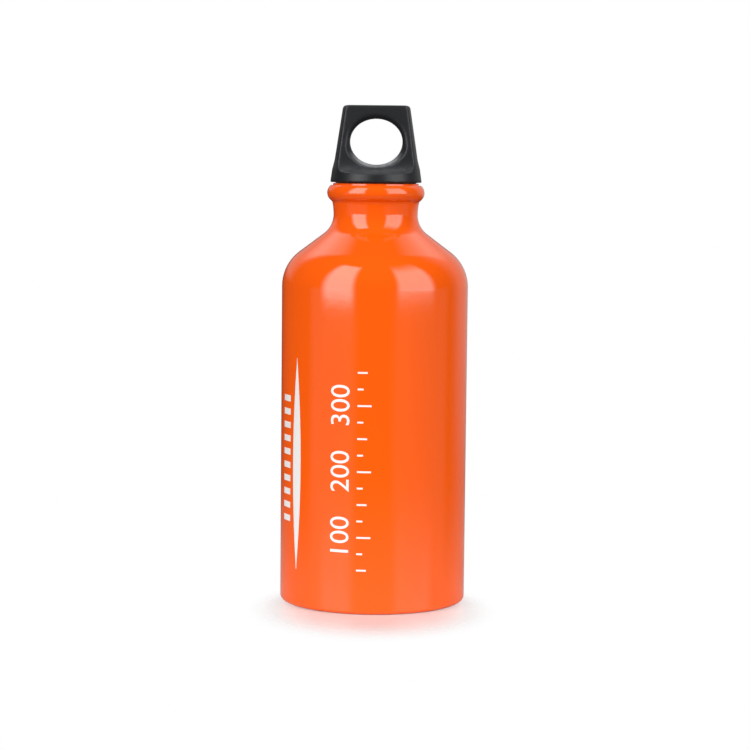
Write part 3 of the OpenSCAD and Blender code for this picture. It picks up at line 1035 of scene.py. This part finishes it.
class FUELBOTTLE_OT_shell(bpy.types.Operator):
    """Makes the enamelled aluminium shell"""

    bl_idname = "fuelbottle.shell"
    bl_label = "Shell"

    def execute(self, context):
        parts = context.scene.fuel_bottle
        s, thread = parts.bottle, parts.thread
        recess_r = thread.flange_r + thread.press_gap
        lip_r = recess_r + s.lip_wall
        bm = bmesh.new()
        draw_shell_outside(bm, s, lip_r)
        lathe(bm, material=0)
        draw_shell_inside(bm, s, recess_r, lip_r - s.lip_round, s.rim_z - thread.flange_t)
        lathe(bm, material=1)
        seal(bm)
        shell = to_object(
            "bottle_shell_enamelled",
            bm,
            [enamel_material(parts.finish), lacquered_aluminium_material(parts.finish)],
        )
        fit(shell, "bottle", "bottle_shell")
        return {"FINISHED"}


class FUELBOTTLE_OT_thread_ring(bpy.types.Operator):
    """Makes the threaded ring in the neck"""

    bl_idname = "fuelbottle.thread_ring"
    bl_label = "Thread ring"

    def execute(self, context):
        parts = context.scene.fuel_bottle
        s, thread = parts.bottle, parts.thread
        ring_r = s.neck_r - s.wall - thread.press_gap
        major_r = ring_r - thread.ring_wall
        bm = bmesh.new()
        section = Section(bm, major_r, thread.ring_foot_z)
        first = section.tip
        section.line(ring_r, thread.ring_foot_z)
        section.line(ring_r, s.rim_z - thread.flange_t)
        section.line(thread.flange_r, s.rim_z - thread.flange_t)
        section.line(thread.flange_r, s.rim_z)
        section.line(major_r + thread.mouth_bevel, s.rim_z)
        section.line(major_r, s.rim_z - thread.mouth_bevel)
        section.join(first)
        lathe(bm)
        seal(bm)
        ring = to_object("neck_thread_ring_turned", bm, [turned_aluminium_material(parts.finish)])
        start_z = thread.ring_foot_z + thread.ring_start
        turns = (s.rim_z - thread.ring_end - start_z) / thread.pitch
        combine(ring, wind_ridge(thread, major_r, False, start_z, turns, 0), "UNION")
        fit(ring, "bottle", "neck_thread_ring")
        return {"FINISHED"}


class FUELBOTTLE_OT_cap(bpy.types.Operator):
    """Makes the moulded screw cap with its finger loop"""

    bl_idname = "fuelbottle.cap"
    bl_label = "Screw cap"

    def execute(self, context):
        parts = context.scene.fuel_bottle
        s, thread, cap = parts.bottle, parts.thread, parts.cap
        foot_z = s.rim_z + cap.gap
        major_r = s.neck_r - s.wall - thread.press_gap - thread.ring_wall
        plug_r = major_r - thread.height - thread.play
        collar_r = major_r - cap.collar_play
        groove_top = SEAL_HIGH.z + cap.groove_play
        groove_r = SEAL_HIGH.x + cap.groove_play
        skirt_top_r = cap.skirt_r - cap.skirt_in
        loop_foot_r = skirt_top_r - cap.step_in
        loop_top_r = loop_foot_r - cap.loop_in
        straight = cap.top_z - foot_z - cap.skirt_h - cap.step_h - cap.top_round
        lean = math.atan(cap.loop_in / straight)
        corner = Vector((loop_top_r - cap.top_round, cap.top_z - cap.top_round))

        bm = bmesh.new()
        section = Section(bm, 0, foot_z + cap.hollow_h)
        section.line(plug_r - cap.plug_wall, foot_z + cap.hollow_h)
        section.line(plug_r - cap.plug_wall, cap.plug_foot_z)
        section.line(plug_r, cap.plug_foot_z)
        section.line(plug_r, s.rim_z - cap.collar_h)
        section.line(collar_r, s.rim_z - cap.collar_h)
        section.line(collar_r, groove_top)
        section.line(groove_r, groove_top)
        section.line(groove_r, foot_z)
        section.line(cap.skirt_r, foot_z)
        section.line(skirt_top_r, foot_z + cap.skirt_h)
        section.line(loop_foot_r, foot_z + cap.skirt_h + cap.step_h)
        section.line(*(corner + cap.top_round * Vector((math.cos(lean), math.sin(lean)))))
        section.arc(*corner, math.pi / 2 - lean)
        section.line(0, cap.top_z)
        lathe(bm)
        seal(bm)
        moulding = to_object("screw_cap_moulded", bm)

        combine(moulding, scoop_cutter(cap, foot_z, -math.pi / 2), "DIFFERENCE")
        combine(moulding, scoop_cutter(cap, foot_z, math.pi / 2), "DIFFERENCE")
        combine(moulding, finger_hole_cutter(cap, foot_z), "DIFFERENCE")
        ring_start_z = thread.ring_foot_z + thread.ring_start
        start_z = cap.plug_foot_z + thread.plug_start
        turns = (s.rim_z - thread.plug_end - start_z) / thread.pitch
        start_angle = math.tau * (start_z - ring_start_z) / thread.pitch - math.pi
        combine(moulding, wind_ridge(thread, plug_r, True, start_z, turns, start_angle), "UNION")

        skin = moulding.modifiers.new("Skin", "REMESH")
        skin.mode = "VOXEL"
        skin.voxel_size = cap.voxel
        apply_modifiers(moulding)
        bm = bmesh.new()
        bm.from_mesh(moulding.data)
        above = [v for v in bm.verts if v.co.z > foot_z - cap.voxel]
        for _ in range(cap.soften):
            smooth(bm, above)
        for _ in range(2):
            smooth(bm, bm.verts[:])
        for face in bm.faces:
            face.smooth = True
        bm.to_mesh(moulding.data)
        bm.free()
        moulding.data.materials.clear()
        skin = polypropylene_material(parts.finish, cap, foot_z + cap.hole_z)
        moulding.data.materials.append(skin)
        fit(moulding, "cap", "screw_cap")
        return {"FINISHED"}


class FUELBOTTLE_OT_o_ring(bpy.types.Operator):
    """Makes the O-ring under the cap's skirt"""

    bl_idname = "fuelbottle.o_ring"
    bl_label = "O-ring"

    def execute(self, context):
        parts = context.scene.fuel_bottle
        radius = (SEAL_HIGH.z - SEAL_LOW.z) / 2
        place = Matrix.Translation((SEAL_HIGH.x - radius, 0, SEAL_LOW.z + radius))
        bm = bmesh.new()
        bmesh.ops.create_circle(
            bm, segments=40, radius=radius, matrix=place @ Matrix.Rotation(math.pi / 2, 4, "X")
        )
        lathe(bm)
        seal(bm)
        ring = to_object("cap_o_ring_moulded", bm, [rubber_material(parts.finish)])
        fit(ring, "seal", "cap_o_ring")
        return {"FINISHED"}


class FUELBOTTLE_OT_print(bpy.types.Operator):
    """Prints the fill scale and the plain side pattern on the shell"""

    bl_idname = "fuelbottle.print"
    bl_label = "Print"

    def execute(self, context):
        parts = context.scene.fuel_bottle
        s, p = parts.bottle, parts.print
        ink = ink_material(parts.finish)
        # Area of the bore, by which the height of a filled volume follows
        area = math.pi * (s.body_r - s.wall) ** 2
        floor_z = 4.57 * MM

        bm = bmesh.new()
        for millilitres in range(50, 351, 25):
            level = floor_z + millilitres * 1e-6 / area
            reach = p.tick_short
            if millilitres % 100 == 0:
                reach = p.tick_long
            elif millilitres % 50 == 0:
                reach = p.tick_middle
            half = p.tick_t / 2
            flat_box(bm, (p.tick_at, level - half), (p.tick_at + reach, level + half))
            if millilitres % 100 == 0:
                flat_number(bm, str(millilitres), p.number_h, p.number_at, level)
        wrap_print(bm, s.body_r, p.ink_t)
        scale = to_object("fill_scale_print", bm, [ink])
        fit(scale, "bottle")

        bm = bmesh.new()
        half = p.band_w / 2
        middle = (p.band_low + p.band_high) / 2
        band = flat_box(bm, (p.band_at - half, p.band_low), (p.band_at + half, p.band_high))
        bmesh.ops.subdivide_edges(
            bm,
            edges=[e for e in bm.edges if abs(e.verts[0].co.x - e.verts[1].co.x) < half],
            cuts=39,
            use_grid_fill=True,
        )
        for vert in bm.verts:
            along = (vert.co.y - middle) / (p.band_high - middle)
            vert.co.x = p.band_at + (vert.co.x - p.band_at) * max(0.06, 1 - along * along)
        for i in range(p.bar_count):
            low = p.bar_low + i * p.bar_step
            half_w = p.bar_w / 2
            flat_box(bm, (p.bar_at - half_w, low), (p.bar_at + half_w, low + p.bar_t))
        wrap_print(bm, s.body_r, p.ink_t)
        pattern = to_object("side_pattern_print", bm, [ink])
        fit(pattern, "bottle")
        return {"FINISHED"}


class FUELBOTTLE_OT_stage(bpy.types.Operator):
    """Sets up the pale table, the two soft boxes, the studio round them and the camera"""

    bl_idname = "fuelbottle.stage"
    bl_label = "Stage"

    def execute(self, context):
        finishes = context.scene.fuel_bottle.finish
        bm = bmesh.new()
        bmesh.ops.create_circle(bm, cap_ends=True, segments=96, radius=0.4)
        bmesh.ops.translate(bm, verts=bm.verts, vec=(0, 0, -0.02 * MM))
        floor = to_object("pale_table", bm, [floor_material(finishes)])

        add_studio_world(context)
        add_camera(context)
        context.scene.view_settings.view_transform = "Standard"
        return {"FINISHED"}


class FUELBOTTLE_PT_pieces(bpy.types.Panel):
    """Lists the pieces of the fuel bottle and their sizes"""

    bl_idname = "FUELBOTTLE_PT_pieces"
    bl_label = "Fuel bottle"
    bl_space_type = "VIEW_3D"
    bl_region_type = "UI"
    bl_category = "Fuel bottle"

    def draw(self, context):
        layout = self.layout
        parts = context.scene.fuel_bottle
        for operator in OPERATORS:
            layout.operator(operator.bl_idname)
        for group in (parts.bottle, parts.thread, parts.cap, parts.print, parts.finish):
            box = layout.box()
            for name in group.__annotations__:
                box.prop(group, name)


OPERATORS = (
    FUELBOTTLE_OT_shell,
    FUELBOTTLE_OT_thread_ring,
    FUELBOTTLE_OT_cap,
    FUELBOTTLE_OT_o_ring,
    FUELBOTTLE_OT_print,
    FUELBOTTLE_OT_stage,
)
CLASSES = (
    BottleSizes,
    ThreadSizes,
    CapSizes,
    PrintSizes,
    Finishes,
    FuelBottle,
    *OPERATORS,
    FUELBOTTLE_PT_pieces,
)


def register():
    for made in CLASSES:
        bpy.utils.register_class(made)
    bpy.types.Scene.fuel_bottle = PointerProperty(type=FuelBottle)


def unregister():
    del bpy.types.Scene.fuel_bottle
    for made in reversed(CLASSES):
        bpy.utils.unregister_class(made)


def main():
    register()
    bpy.ops.fuelbottle.shell()
    bpy.ops.fuelbottle.thread_ring()
    bpy.ops.fuelbottle.cap()
    bpy.ops.fuelbottle.o_ring()
    bpy.ops.fuelbottle.print()
    bpy.ops.fuelbottle.stage()


if __name__ == "__main__":
    main()
